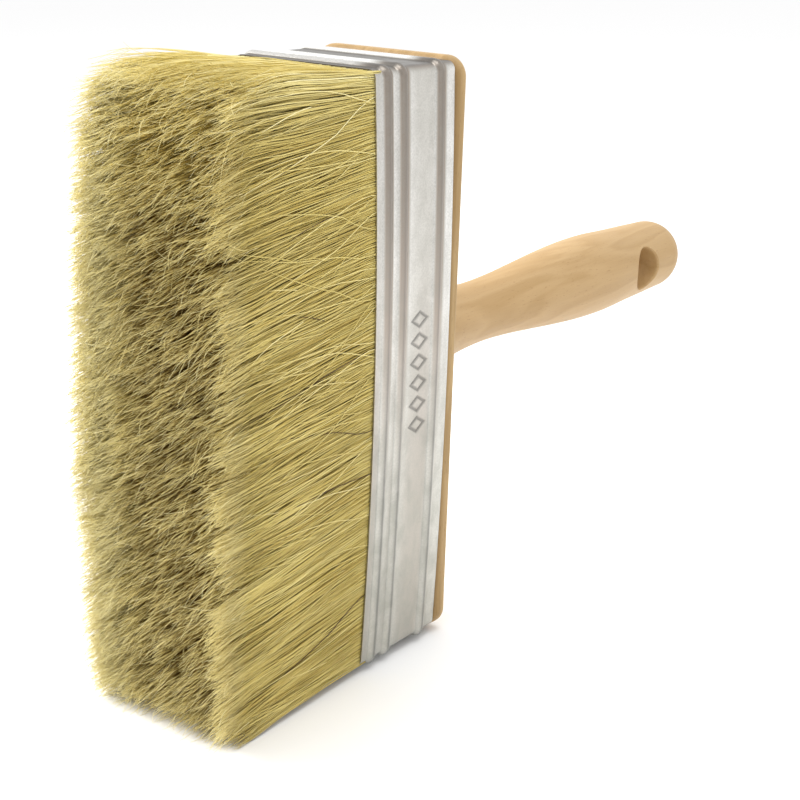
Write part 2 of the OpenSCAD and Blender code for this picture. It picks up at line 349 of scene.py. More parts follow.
def floor_material():
    """Plain pale studio floor."""
    m = Nodes("floor")
    m.shader.inputs["Base Color"].default_value = (0.93, 0.93, 0.93, 1.0)
    m.shader.inputs["Roughness"].default_value = 0.9
    m.shader.inputs["Specular IOR Level"].default_value = 0.1
    return m.material


# ------ Ferrule ------
# The row of plain lozenges stamped into the near face
MARK_COUNT = 6
MARK_PITCH = 5.1
MARK_X = 17.0
MARK_Z = 0.0
MARK_LEN = 7.0
MARK_W = 4.2
MARK_LINE = 0.65
MARK_DEPTH = 0.25
MARK_SHARE = 0.82

LAP_W = 10.0
LAP_T = 0.3

# Points along the outline and over each bead
WIDE_STATIONS = 67
NARROW_STATIONS = 17
CORNER_STATIONS = 13
BEAD_ROWS = 19

# Painted light on the sheet, as values of the sheet attribute (at the bottom of the brush, change towards
# its top): tones of painted reflection, lighter at the bead margins, painted shade on the bead crests and
# feet, in the stamped lines and on the top flats, and a painted highlight on the top ends of the beads
FLAT_TONE = (0.31, 0.21)
MARGIN_HIGHLIGHT = (0.20, 0.06)
BEAD_TONE = (0.47, -0.38)
CREST_SHADE = (0.66, -0.42)
CREST_W = 0.48
FOOT_W = 0.55
FOOT_SHADE = 0.16
STAMPED_SHADE = 0.6
TOP_TONE = 0.06
TOP_SHADE = 0.75
TOP_LIT_FROM_Y = -17
FIRST_BEAD_LIT = 0.72


def bead_rise(x):
    """Height of the pressed beads above the sheet at distance x from the mouth."""
    rise = np.zeros_like(np.asarray(x, float))
    radius = (BEAD_W ** 2 / 4 + BEAD_H ** 2) / (2 * BEAD_H)
    for at in BEADS_AT:
        gap = np.clip(radius ** 2 - (x - at) ** 2, 0.0, None)
        rise = np.maximum(rise, np.sqrt(gap) - (radius - BEAD_H))
    return rise


def face_bow(x, z):
    """How far the wide face stands out beyond its corners."""
    reach = FERRULE_HALF_W - FERRULE_CORNER_R
    at_x = BOW_AT_MOUTH + (BOW_AT_BLOCK - BOW_AT_MOUTH) * x / FERRULE_LEN
    return at_x * np.clip(1 - (z / reach) ** 2, 0.0, None)


def ferrule_outline():
    """Stations round the outline as (Y, Z, normal Y, normal Z, 1 on a wide face), turning round once."""
    corner_y = FERRULE_HALF_T - FERRULE_CORNER_R
    corner_z = FERRULE_HALF_W - FERRULE_CORNER_R
    stamped_low = MARK_Z - MARK_PITCH * MARK_COUNT / 2
    stamped_high = MARK_Z + MARK_PITCH * MARK_COUNT / 2
    plain_z = list(np.linspace(-corner_z, corner_z, WIDE_STATIONS))
    fine_z = [z for z in plain_z if z < stamped_low or z > stamped_high]
    fine_z = sorted(fine_z + list(np.arange(stamped_low, stamped_high, 0.2)))
    narrow_y = np.linspace(corner_y, -corner_y, NARROW_STATIONS)

    def corner(start, side_y, side_z):
        """The rounded corner on these sides, from an angle on through a quarter turn."""
        found = []
        for angle in np.linspace(start, start + 90, CORNER_STATIONS)[1:-1]:
            c, s = math.cos(math.radians(angle)), math.sin(math.radians(angle))
            y = side_y * corner_y + FERRULE_CORNER_R * c
            z = side_z * corner_z + FERRULE_CORNER_R * s
            found.append((y, z, c, s, 0.0))
        return found

    stations = [(FERRULE_HALF_T, z, 1.0, 0.0, 1.0) for z in plain_z]
    stations += corner(0, 1, 1)
    stations += [(y, FERRULE_HALF_W, 0.0, 1.0, 0.0) for y in narrow_y]
    stations += corner(90, -1, 1)
    stations += [(-FERRULE_HALF_T, z, -1.0, 0.0, 1.0) for z in reversed(fine_z)]
    stations += corner(180, -1, -1)
    stations += [(-y, -FERRULE_HALF_W, 0.0, -1.0, 0.0) for y in narrow_y]
    stations += corner(270, 1, -1)
    return np.array(stations)


def sheet_stops():
    """Distances from the mouth at which the sheet has a row of points."""
    stops = set(np.round(np.linspace(0, FERRULE_LEN, 24), 3))
    for at in BEADS_AT:
        stops.update(np.round(np.linspace(at - BEAD_W / 2 - 0.4, at + BEAD_W / 2 + 0.4, BEAD_ROWS), 3))
    stops.update(np.round(np.arange(MARK_X - MARK_LEN / 2 - 0.4, MARK_X + MARK_LEN / 2 + 0.4, 0.17), 3))
    return np.array(sorted(s for s in stops if 0 <= s <= FERRULE_LEN))


def stamped_depth(x, z):
    """Depth of the row of plain lozenges stamped into the near face."""
    depth = np.zeros_like(x)
    for i in range(MARK_COUNT):
        centre = MARK_Z + (i - (MARK_COUNT - 1) / 2) * MARK_PITCH
        away = np.abs(x - MARK_X) / (MARK_LEN / 2) + np.abs(z - centre) / (MARK_W / 2)
        width = MARK_W / 2 * MARK_LEN / math.hypot(MARK_W, MARK_LEN)
        from_line = np.abs(away - MARK_SHARE) * width
        depth = np.maximum(depth, MARK_DEPTH * smoothstep(1.5 - from_line / (MARK_LINE / 2)))
    return depth


def sheet_painted_light(x, y, z, stamped, on_top):
    """Colours of the sheet attribute: tone of painted reflection and highlight, painted shade in the folds,
    stamped lines and top flats, and height up the brush.
    """
    def by_height(values):
        return values[0] + values[1] * upper

    upper = smoothstep((z + 35) / 85)
    # Painted highlight along the bead margins and on the rear strip
    margin_highlight = smoothstep((x - BEADS_AT[-1]) / 1.0)
    bead = np.zeros_like(x)
    painted_shade = np.zeros_like(x)
    for at in BEADS_AT:
        front, back = at - BEAD_W / 2, at + BEAD_W / 2 + FOOT_W
        before, behind = np.clip(front - x, 0, None), np.clip(x - back, 0, None)
        margin_highlight = np.maximum(margin_highlight, np.exp(-before / 0.6 - behind / 1.8))
        bead = np.maximum(bead, smoothstep((x - front + 0.2) / 0.7) * smoothstep((back + 0.1 - x) / 0.3))
        # Painted shade on each bead's crest and at its front foot
        crest = np.exp(-(((x - at) / CREST_W) ** 2)) * by_height(CREST_SHADE)
        foot = FOOT_SHADE * np.exp(-(((x - front + 0.1) / 0.25) ** 2))
        painted_shade = np.maximum(painted_shade, np.maximum(crest, foot))
    # Painted reflection: tones of flats and beads change with height, lighter at the margins
    flat_tone = by_height(FLAT_TONE) + by_height(MARGIN_HIGHLIGHT) * margin_highlight
    side_tone = flat_tone + (by_height(BEAD_TONE) - flat_tone) * bead
    past_first = smoothstep(x - BEADS_AT[0] - BEAD_W / 2)
    # Painted highlight on the top ends of the beads, painted shade on the top flats and in the stamped
    # lines
    lit = smoothstep((y - TOP_LIT_FROM_Y) / 6) * (FIRST_BEAD_LIT + (1 - FIRST_BEAD_LIT) * past_first)
    tone = side_tone + (TOP_TONE + (1 - TOP_TONE) * bead * lit - side_tone) * on_top
    painted_shade = np.maximum(painted_shade * (1 - on_top), STAMPED_SHADE * stamped)
    painted_shade = np.maximum(painted_shade, on_top * (TOP_SHADE - TOP_SHADE * bead * lit))
    # Height up the brush, which the material turns into painted shade towards the bottom
    height = smoothstep((z + 45) / 60)
    return np.stack([tone, painted_shade, height, np.ones_like(x)], axis=-1)


def make_ferrule(material):
    """The beaded sheet, outside and inside, closed over its rims."""
    stations = ferrule_outline()
    stops = sheet_stops()
    x = np.repeat(stops[None, :], len(stations), axis=0)
    y = np.repeat(stations[:, 0][:, None], len(stops), axis=1)
    z = np.repeat(stations[:, 1][:, None], len(stops), axis=1)
    ny = stations[:, 2][:, None]
    nz = stations[:, 3][:, None]
    wide = stations[:, 4][:, None]
    y = y + wide * np.sign(y) * face_bow(x, z)
    near = wide * (ny < 0)
    stamped = near * stamped_depth(x, z)
    rise = bead_rise(x) - stamped
    outer = np.stack([x, y + ny * rise, z + nz * rise], axis=-1)
    inner_rise = bead_rise(x) - SHEET_T
    inner = np.stack([x, y + ny * inner_rise, z + nz * inner_rise], axis=-1)
    rounds, rows = len(stations), len(stops)
    points = np.concatenate([outer.reshape(-1, 3), inner.reshape(-1, 3)])
    shift = rounds * rows
    faces = []
    for i in range(rounds):
        k = (i + 1) % rounds
        for j in range(rows - 1):
            a, b, c, d = i * rows + j, i * rows + j + 1, k * rows + j + 1, k * rows + j
            faces.append((a, b, c, d))
            faces.append((shift + d, shift + c, shift + b, shift + a))
        first, last = i * rows, i * rows + rows - 1
        first_k, last_k = k * rows, k * rows + rows - 1
        faces.append((first, first_k, shift + first_k, shift + first))
        faces.append((last_k, last, shift + last, shift + last_k))
    ferrule = new_object("ferrule_sheet", points, faces, material)
    on_top = np.clip(nz, 0, 1) ** 2 + 0 * x
    # The sheet's painted reflection, highlight and shade
    tones = sheet_painted_light(x, y, z, stamped / MARK_DEPTH, on_top).reshape(-1, 4)
    add_tones(ferrule, "sheet", np.concatenate([tones, tones]))
    sharpen(ferrule, 50)
    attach(ferrule, "root")
    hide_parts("ferrule")


def make_lap(material):
    """The outer end of the sheet, lapped over the middle of the lower narrow end."""
    stops = sheet_stops()
    stops = stops[(stops > 0.3) & (stops < FERRULE_LEN - 0.3)]
    rise = bead_rise(stops)
    sides = (-LAP_W / 2, LAP_W / 2)
    points = []
    for y in sides:
        for x, r in zip(stops, rise):
            points.append((x, y, -FERRULE_HALF_W - r - LAP_T))
        for x, r in zip(stops, rise):
            points.append((x, y, -FERRULE_HALF_W - r + 0.1))
    n = len(stops)
    faces = []
    for j in range(n - 1):
        faces.append((j, j + 1, 2 * n + j + 1, 2 * n + j))
        faces.append((n + j + 1, n + j, 3 * n + j, 3 * n + j + 1))
        faces.append((j + 1, j, n + j, n + j + 1))
        faces.append((2 * n + j, 2 * n + j + 1, 3 * n + j + 1, 3 * n + j))
    faces.append((0, 2 * n, 3 * n, n))
    faces.append((n - 1, 2 * n - 1, 4 * n - 1, 3 * n - 1))
    lap = new_object("ferrule_lap", points, faces, material)
    lap_x = np.array([p[0] for p in points])
    lap_z = np.full_like(lap_x, -FERRULE_HALF_W)
    # The lap's painted reflection and shade, as at the bottom of the sheet
    add_tones(lap, "sheet", sheet_painted_light(lap_x, 0 * lap_x, lap_z, 0 * lap_x, 0 * lap_x))
    sharpen(lap, 50)
    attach(lap, "root")
    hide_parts("ferrule")


# ------ Handle ------
# Radius of the turned handle, as (distance behind the block, radius)
HANDLE_STATIONS = (
    (0, 12.6), (5, 11.9), (14, 10.1), (24, 8.75), (36, 8.15), (48, 8.55), (60, 9.5),
    (74, 10.7), (86, 11.45), (98, 11.65), (110, 11.15), (122, 10.75), (132, 10.4),
)
NOSE_POWER = 2.15
NOSE_ROWS = 40
ROWS_BETWEEN_STATIONS = 16
TENON_CHAMFER = 0.6
HANDLE_SIDES = 128
HANDLE_R_AT_HOLE = 10.95
HOLE_SIDES = 96
HOLE_SOFT_R = 1.1


def handle_profile():
    """The handle's outline from its tenon to its end, as (distance behind the block, radius)."""
    last = len(HANDLE_STATIONS) - 1

    def station(i):
        return np.array(HANDLE_STATIONS[max(0, min(last, i))], float)

    profile = [
        (-TENON_LEN, 0.0),
        (-TENON_LEN, TENON_R - TENON_CHAMFER),
        (-TENON_LEN + TENON_CHAMFER, TENON_R),
        (0.0, TENON_R),
    ]
    for i in range(last):
        a, b, c, d = station(i - 1), station(i), station(i + 1), station(i + 2)
        square = a - 2.5 * b + 2 * c - d / 2
        cube = 1.5 * b - a / 2 - 1.5 * c + d / 2
        for t in np.linspace(0, 1, ROWS_BETWEEN_STATIONS, endpoint=False):
            bend = square * t ** 2 + cube * t ** 3
            radius = (b + (c - a) * t / 2 + bend)[1]
            profile.append((b[0] + (c[0] - b[0]) * t, radius))
    start, start_r = HANDLE_STATIONS[-1]
    for angle in np.linspace(0, 90, NOSE_ROWS):
        s, c = math.sin(math.radians(angle)), max(0.0, math.cos(math.radians(angle)))
        nose_x = start + (HANDLE_LEN - start) * s ** (2 / NOSE_POWER)
        profile.append((nose_x, start_r * c ** (2 / NOSE_POWER)))
    profile[-1] = (HANDLE_LEN, 0.0)
    return profile


def lathe(profile, sides):
    """Points and faces of a profile of (x, radius) turned about the X axis, closed at both ends."""
    points, rings = [], []
    for x, r in profile:
        if r < 1e-6:
            rings.append([len(points)])
            points.append((x, 0.0, 0.0))
        else:
            rings.append(list(range(len(points), len(points) + sides)))
            for k in range(sides):
                angle = 2 * math.pi * k / sides
                points.append((x, r * math.sin(angle), r * math.cos(angle)))
    faces = []
    for low, high in zip(rings, rings[1:]):
        for k in range(sides):
            n = (k + 1) % sides
            if len(low) == 1:
                faces.append((low[0], high[n], high[k]))
            elif len(high) == 1:
                faces.append((low[k], low[n], high[0]))
            else:
                faces.append((low[k], low[n], high[n], high[k]))
    return points, faces


def make_handle(material):
    """Turned handle with a softened hanging hole through it."""
    back = FERRULE_LEN + FLANGE_LEN
    points, faces = lathe([(x + back, r) for x, r in handle_profile()], HANDLE_SIDES)
    handle = new_object("handle_turned", points, faces, material)
    hole_x = back + HANDLE_LEN - HANG_FROM_END
    cutter = make_hole_cutter(hole_x, material)
    cut = handle.modifiers.new("hanging_hole", "BOOLEAN")
    cut.operation = "DIFFERENCE"
    cut.solver = "EXACT"
    cut.object = cutter
    apply_modifiers(handle)
    bpy.data.objects.remove(cutter)
    handle.data.polygons.foreach_set("use_smooth", [True] * len(handle.data.polygons))
    sharpen(handle, 40)
    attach(handle, "root")
    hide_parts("handle")


def make_hole_cutter(hole_x, material):
    """A plug for the hanging hole that flares where it leaves the turned surface, so the rim is round."""
    sides, soft = HOLE_SIDES, HOLE_SOFT_R
    depths = [0.0] + list(soft * (1 - np.cos(np.linspace(0, math.pi / 2, 9)))) + [soft + 2.0]
    points, rings = [], []
    for side in (-1, 1):
        for depth in (depths if side > 0 else list(reversed(depths))):
            ring = []
            for k in range(sides):
                angle = 2 * math.pi * k / sides
                across = HANG_R * math.sin(angle)
                rim_y = math.sqrt(HANDLE_R_AT_HOLE ** 2 - across ** 2)
                inside = min(depth, soft)
                flare = soft - math.sqrt(max(soft ** 2 - inside ** 2, 0.0)) if depth > 0 else 0.0
                radius = HANG_R + flare + max(0.0, depth - soft)
                y = side * (rim_y - soft + depth)
                ring.append(len(points))
                points.append((hole_x + radius * math.cos(angle), y, radius * math.sin(angle)))
            rings.append(ring)
    faces = []
    for low, high in zip(rings, rings[1:]):
        for k in range(sides):
            n = (k + 1) % sides
            faces.append((low[k], high[k], high[n], low[n]))
    faces.append(tuple(rings[0]))
    faces.append(tuple(reversed(rings[-1])))
    return new_object("hole_cutter", points, faces, material)


def apply_modifiers(obj):
    """Turns an object's modifiers into its mesh."""
    graph = bpy.context.evaluated_depsgraph_get()
    graph.update()
    mesh = bpy.data.meshes.new_from_object(obj.evaluated_get(graph))
    obj.modifiers.clear()
    obj.data = mesh


# ------ Bristles ------
# Depths of the outer layers under the mouth's outline, and how closely they stand
SHELL_LAYERS = (0.12, 0.34, 0.6, 0.9, 1.25, 1.65)
SHELL_PITCH = 0.23

# Bristles inside them: for each square mm, and more for each mm of height under the far face
CORE_DENSITY = 4.6
FAR_EXTRA = 26
CORE_REACH = 20.0

TOP_BEND = 1.8
STRAND_R = 0.115
TIP_SHARE = 0.34
TIP_CROWN = 2.0
FACE_FLARE = 0.02
TIP_SPREAD = 15.0
EDGE_REACH = 2.6
END_LEN = 8.0
BOTTOM_DROP = 1.2
TOP_DROP = 3.4
TUFT_SIZE = 4.2
WISP_SIZE = 1.5
HOOK_LEN = 7.0
HOOK_DOWN = 0.5
FLOOR_Z = -FERRULE_HALF_W - 1.9
FACES_PER_PIECE = 180000
PACKS = ("near", "middle", "far")

# Steps along one strand of each kind, and where the outer strands start inside the mouth
SHELL_STEPS = 10
SHELL_START = -2.5
CORE_STEPS = 6
FLAG_STEPS = 5
STRAY_STEPS = 12

# How far tips sway with their lock and their wisp, over height and thickness
LOCK_SWAY = (1.5, 0.9)
WISP_SWAY = (0.45, 0.3)

# How far a tuft or a wisp stands out, and a tuft at the near edge besides
GROUP_RAISE = 0.8
NEAR_TUFT_RAISE = 2.6

# How tips draw together: (kind of centre, over how much of the end, share of the way)
TIP_PULLS = (("tufts", 20.0, 0.30), ("wisps", 13.0, 0.50))

# Sizes of the smooth random fields over height, thickness and length
FIELD_SIZES = (
    ("lock", 3.2, 2.2, 17.0),
    ("lock_y", 3.2, 2.6, 17.0),
    ("wisp", 1.1, 0.8, 9.0),
    ("wisp_y", 1.1, 0.8, 9.0),
    ("tone", 2.2, 1.4, 30.0),
)

# How deep below the tips and below a face the painted shade between strands is full
SHADE_BELOW_TIPS = 9.5
SHADE_BELOW_FACE = 3.0

# Painted shade between strands: the unshaded level in the open, and the shade: in the middle, and how much
# less of it towards each side
UNSHADED_LEVEL = 0.9
SHADE = 0.92
FAR_LESS, TOP_LESS, NEAR_LESS = 0.74, 0.72, 0.20

# Painted light: how much paler strands are painted at the top, at the far face, and there at their tips
PAINTED_LIGHT_TOP, PAINTED_LIGHT_FAR, PAINTED_LIGHT_FAR_TIP = 0.28, 0.16, 0.74
PAINTED_LIGHT_TIP_LEN = 8.0

# Shares of very dark bristles, spreads of tint, and the thin parts
DARK_SHARE = 0.006
DARK_STRAY_SHARE = 0.05
SHELL_TINT_SPREAD = 0.7
CORE_TINT_SPREAD = 1.0
FLAG_RADII = (0.075, 0.03)
OUTER_FLAG_SHARE = 0.12
CORE_FLAG_SHARE = 0.36
STRAY_COUNT = 90
STRAY_R = 0.11

# The skin behind the outer layers: how deep it lies and how far it reaches
MASS_DEPTH = 1.7
MASS_REACH = 30.0
MASS_SIDES = 900
MASS_ROWS = 16
MASS_SQUARENESS = 14
# How unshaded the skin lies: it carries painted shade
MASS_UNSHADED = 0.42

# How steeply the bristles lean downwards, by their height in the mouth: (height, slope)
LEAN = (
    (-70, 0.00), (-66, 0.04), (-58, 0.10), (-45, 0.11), (0, 0.11), (40, 0.12),
    (56, 0.11), (62, 0.06), (66, 0.00), (70, -0.06),
)


class Field:
    """Smooth random values over height, thickness and length, between -1 and 1."""

    SPAN = (170, 70, 80)
    BEFORE = (85, 35, 10)

    def __init__(self, rng, size_z, size_y, size_s):
        self.sizes = (size_z, size_y, size_s)
        counts = [int(span / size) + 4 for span, size in zip(self.SPAN, self.sizes)]
        self.table = rng.uniform(-1, 1, counts)

    def at(self, z, y, s):
        shifted = zip((z, y, s), self.BEFORE, self.sizes)
        places = [(value + before) / size + 1 for value, before, size in shifted]
        whole = [np.floor(p).astype(int) for p in places]
        part = [smoothstep(p - w) for p, w in zip(places, whole)]
        total = 0.0
        for a in (0, 1):
            for b in (0, 1):
                for c in (0, 1):
                    weight = (part[0] if a else 1 - part[0]) * (part[1] if b else 1 - part[1])
                    weight = weight * (part[2] if c else 1 - part[2])
                    total = total + weight * self.table[whole[0] + a, whole[1] + b, whole[2] + c]
        return total


class Tufts:
    """Scattered centres that the tips of neighbouring bristles draw together on."""

    LOW_Z, LOW_Y = -84.0, -34.0

    def __init__(self, rng, size):
        self.size = size
        counts = (int(-2 * self.LOW_Z / size) + 3, int(-2 * self.LOW_Y / size) + 3)
        self.shift = rng.uniform(0.1, 0.9, counts + (2,))
        self.value = rng.uniform(-1, 1, counts)

    def nearest(self, y, z):
        """The centre nearest to each place, how far off it is, and that tuft's own random value."""
        row = np.floor((z - self.LOW_Z) / self.size).astype(int)
        column = np.floor((y - self.LOW_Y) / self.size).astype(int)
        found_y, found_z = np.zeros(len(y)), np.zeros(len(y))
        off, value = np.full(len(y), 1e9), np.zeros(len(y))
        for i in (-1, 0, 1):
            for j in (-1, 0, 1):
                r, c = row + i, column + j
                centre_z = (r + self.shift[r, c, 0]) * self.size + self.LOW_Z
                centre_y = (c + self.shift[r, c, 1]) * self.size + self.LOW_Y
                away = np.hypot(y - centre_y, z - centre_z)
                closer = away < off
                found_y = np.where(closer, centre_y, found_y)
                found_z = np.where(closer, centre_z, found_z)
                value = np.where(closer, self.value[r, c], value)
                off = np.where(closer, away, off)
        return found_y, found_z, off, value


def mouth_half_y(z):
    """Half the thickness inside the ferrule's mouth at height z."""
    return FERRULE_HALF_T - SHEET_T + face_bow(0.0, z)


def lean_at(z):
    """How steeply a bristle leans downwards from height z in the mouth."""
    return np.interp(z, [height for height, _ in LEAN], [slope for _, slope in LEAN])


def shell_roots(rng):
    """Places in the mouth of the outer layers of bristle, evenly laid round the outline."""
    places = []
    for depth in SHELL_LAYERS:
        half_z = FERRULE_HALF_W - SHEET_T - depth
        z = np.arange(-half_z, half_z, SHELL_PITCH)
        y = mouth_half_y(z) - depth
        half_y = FERRULE_HALF_T - SHEET_T - depth
        end_y = np.arange(-half_y, half_y, SHELL_PITCH)
        end_z = np.full_like(end_y, half_z)
        places += [(y, z), (-y, z), (end_y, end_z), (end_y, -end_z)]
    y = np.concatenate([p[0] for p in places])
    z = np.concatenate([p[1] for p in places])
    return y + rng.normal(0, 0.05, len(y)), z + rng.normal(0, 0.07, len(z))


def core_roots(rng):
    """Places in the mouth of the bristles inside the outer layers."""
    half_z = FERRULE_HALF_W - SHEET_T - SHELL_LAYERS[-1]
    reach_y = FERRULE_HALF_T + BOW_AT_MOUTH
    count = int(4 * half_z * reach_y * CORE_DENSITY)
    z = rng.uniform(-half_z, half_z, count)
    y = rng.uniform(-reach_y, reach_y, count)
    extra = int(FAR_EXTRA * 2 * half_z)
    extra_z = rng.uniform(-half_z, half_z, extra)
    y = np.concatenate([y, mouth_half_y(extra_z) - SHELL_LAYERS[-1] - rng.uniform(0, 3.0, extra)])
    z = np.concatenate([z, extra_z])
    keep = np.abs(y) < mouth_half_y(z) - SHELL_LAYERS[-1]
    return y[keep], z[keep]


def crown(z):
    """How far the tips reach as a whole: a low dome, dropping at the top and bottom ends."""
    share = np.abs(z) / FERRULE_HALF_W
    end_from = FERRULE_HALF_W - END_LEN
    bottom = BOTTOM_DROP * smoothstep((-z - end_from) / END_LEN)
    top = TOP_DROP * smoothstep((z - end_from) / END_LEN)
    return BRISTLE_LEN + TIP_CROWN * (1 - share ** 2) - (bottom + top)


def strand_lengths(y, z, fields, rng):
    """Free lengths: a low dome, raised and lowered in tufts, and ragged from strand to strand."""
    count = len(y)
    from_edge = np.minimum(mouth_half_y(z) - np.abs(y), FERRULE_HALF_W - np.abs(z))
    near_edge = np.exp(-((y + mouth_half_y(z)) / EDGE_REACH) ** 2)
    far_edge = np.exp(-((mouth_half_y(z) - y) / EDGE_REACH) ** 2)
    _, _, tuft_off, tuft = fields["tufts"].nearest(y, z)
    _, _, wisp_off, wisp = fields["wisps"].nearest(y, z)
    grouped = (GROUP_RAISE * tuft + GROUP_RAISE * wisp) * (1 - 0.6 * far_edge)
    length = crown(z) + 1.2 + grouped + NEAR_TUFT_RAISE * near_edge * tuft
    fuller = 0.4 * far_edge + near_edge * (0.3 + 1.9 * (1 - (z / FERRULE_HALF_W) ** 2))
    length = length - 0.15 * tuft_off - 0.4 * wisp_off + fuller
    ragged = TIP_SPREAD * rng.beta(1.3, 1.9, count) * (1 - 0.50 * far_edge - 0.38 * near_edge)
    return length - ragged * (0.7 + 0.3 * np.maximum(smoothstep(from_edge / 3), near_edge))


def strand_paths(y, z, length, start, steps, fields, rng):
    """Centre lines of strands that leave the mouth at (y, z), as arrays of (X, Y, Z)."""
    count = len(y)
    t = np.linspace(0, 1, steps + 1)[None, :]
    s = start[:, None] + (length - start)[:, None] * t
    u = np.clip(s / BRISTLE_LEN, 0, 1.15)
    y0, z0 = y[:, None], z[:, None]
    slope_z = -lean_at(z) + rng.normal(0, 0.030, count)
    slope_y = FACE_FLARE * y / FERRULE_HALF_T + rng.normal(0, 0.014, count)
    free = np.clip(s, 0, None)
    lock = fields["lock"].at(z0, y0, s)
    lock_y = fields["lock_y"].at(z0, y0, s)
    wisp = fields["wisp"].at(z0, y0, s)
    wisp_y = fields["wisp_y"].at(z0, y0, s)
    pz = z0 + slope_z[:, None] * free + LOCK_SWAY[0] * u ** 1.8 * lock + WISP_SWAY[0] * u ** 1.3 * wisp
    pz = pz - TOP_BEND * smoothstep((z - 54) / 12)[:, None] * u ** 3
    py = y0 + slope_y[:, None] * free + LOCK_SWAY[1] * u ** 1.6 * lock_y + WISP_SWAY[1] * u ** 1.3 * wisp_y
    for kind, reach, share in TIP_PULLS:
        centre_y, centre_z, _, _ = fields[kind].nearest(y, z)
        toward = (share * rng.uniform(0.6, 1.2, count))[:, None]
        pull = toward * smoothstep((s - length[:, None] + reach) / reach)
        py = py + pull * (centre_y[:, None] - y0)
        pz = pz + pull * (centre_z[:, None] - z0)
    wave = rng.normal(0, 0.20, count)[:, None]
    pz = pz + wave * np.sin(math.pi * u * rng.uniform(0.8, 2.0, count)[:, None])
    hook = np.clip(s - length[:, None] + HOOK_LEN, 0, None) / HOOK_LEN
    pz = pz + (-HOOK_DOWN * smoothstep((z + 20) / 50) + rng.normal(0, 0.28, count))[:, None] * hook ** 2
    py = py + rng.normal(0, 0.25, count)[:, None] * hook ** 2
    inside = mouth_half_y(np.clip(pz, -FERRULE_HALF_W, FERRULE_HALF_W))
    py = np.clip(py, -inside - 1.3 * u, inside + 1.3 * u)
    pz = np.maximum(pz, FLOOR_Z + 0.8 * rng.random(count)[:, None])
    return np.stack([-s, py, pz], axis=-1)


def strand_radii(paths, radius):
    """Even strands that taper over their last part."""
    t = np.linspace(0, 1, paths.shape[1])[None, :]
    return radius[:, None] * (1 - (1 - TIP_SHARE) * np.clip((t - 0.55) / 0.45, 0, 1) ** 1.6)


def strand_colours(y, z, paths, tint, fields):
    """Values of the strand attribute: tint, painted paler at the top and the far edge as painted light, way
    along, and how unshaded it lies, for painted shade between strands.
    """
    count, rings = paths.shape[:2]
    reach = -paths[..., 0]
    crown_reach = crown(z)[:, None]
    below_tips = smoothstep((crown_reach + 0.5 - reach) / SHADE_BELOW_TIPS)
    from_face = np.minimum(mouth_half_y(z) - np.abs(y), FERRULE_HALF_W - np.abs(z))
    below_face = smoothstep(from_face / SHADE_BELOW_FACE)[:, None]
    tone = 0.14 * fields["tone"].at(z, y, np.zeros(count))[:, None]
    colours = np.ones((count, rings, 4))
    # Painted light: paler at the top and along the far face, most at its tips
    high, back = smoothstep((z - 59) / 10), smoothstep((y - 7) / 11)
    near_tip = 1 - smoothstep((crown_reach - reach) / PAINTED_LIGHT_TIP_LEN)
    pale = PAINTED_LIGHT_TOP * high[:, None] + back[:, None] * (PAINTED_LIGHT_FAR + PAINTED_LIGHT_FAR_TIP * near_tip)
    tint_with_painted_light = np.clip(tint[:, None] + pale, 0, 1)
    colours[..., 0] = np.where(tint[:, None] > 0.02, tint_with_painted_light, tint[:, None])
    colours[..., 1] = np.clip(reach / (BRISTLE_LEN + 1), 0, 1)
    # Painted shade between strands, less of it towards the far, top and near sides
    far, top = smoothstep((y - 4) / 14)[:, None], smoothstep((z - 40) / 24)[:, None]
    near = smoothstep((-y - 11) / 7)[:, None]
    shade = (SHADE - FAR_LESS * far) * (1 - TOP_LESS * top) * (1 - NEAR_LESS * near)
    colours[..., 2] = np.clip(UNSHADED_LEVEL - shade * below_tips * below_face + tone, 0, 1)
    return colours


def flag_paths(paths, rng):
    """Split ends: fine, slightly curved hairs that leave the last part of some strands."""
    count = len(paths)
    reach = rng.uniform(3.0, 7.5, count)
    t = np.linspace(0, 1, FLAG_STEPS + 1)[None, :, None]
    end, before = paths[:, -1], paths[:, -2]
    along = end - before
    along /= np.linalg.norm(along, axis=1, keepdims=True)
    first = end - along * (reach * rng.uniform(0.4, 0.9, count))[:, None]
    level = np.zeros(count)
    curl = np.where(rng.random(count) < 0.35, 2.4, 1.0)
    aside = np.stack([level, rng.normal(0, 0.09, count), rng.normal(-0.02, 0.11, count)], axis=-1)
    bend_y = rng.normal(0, 0.10, count) * curl
    bend_z = rng.normal(-0.05, 0.13, count) * curl
    bend = np.stack([level, bend_y, bend_z], axis=-1)
    line = first[:, None] + t * (along + aside)[:, None] * reach[:, None, None]
    line = line + t ** 2 * bend[:, None] * reach[:, None, None]
    line[..., 2] = np.maximum(line[..., 2], FLOOR_Z)
    return line


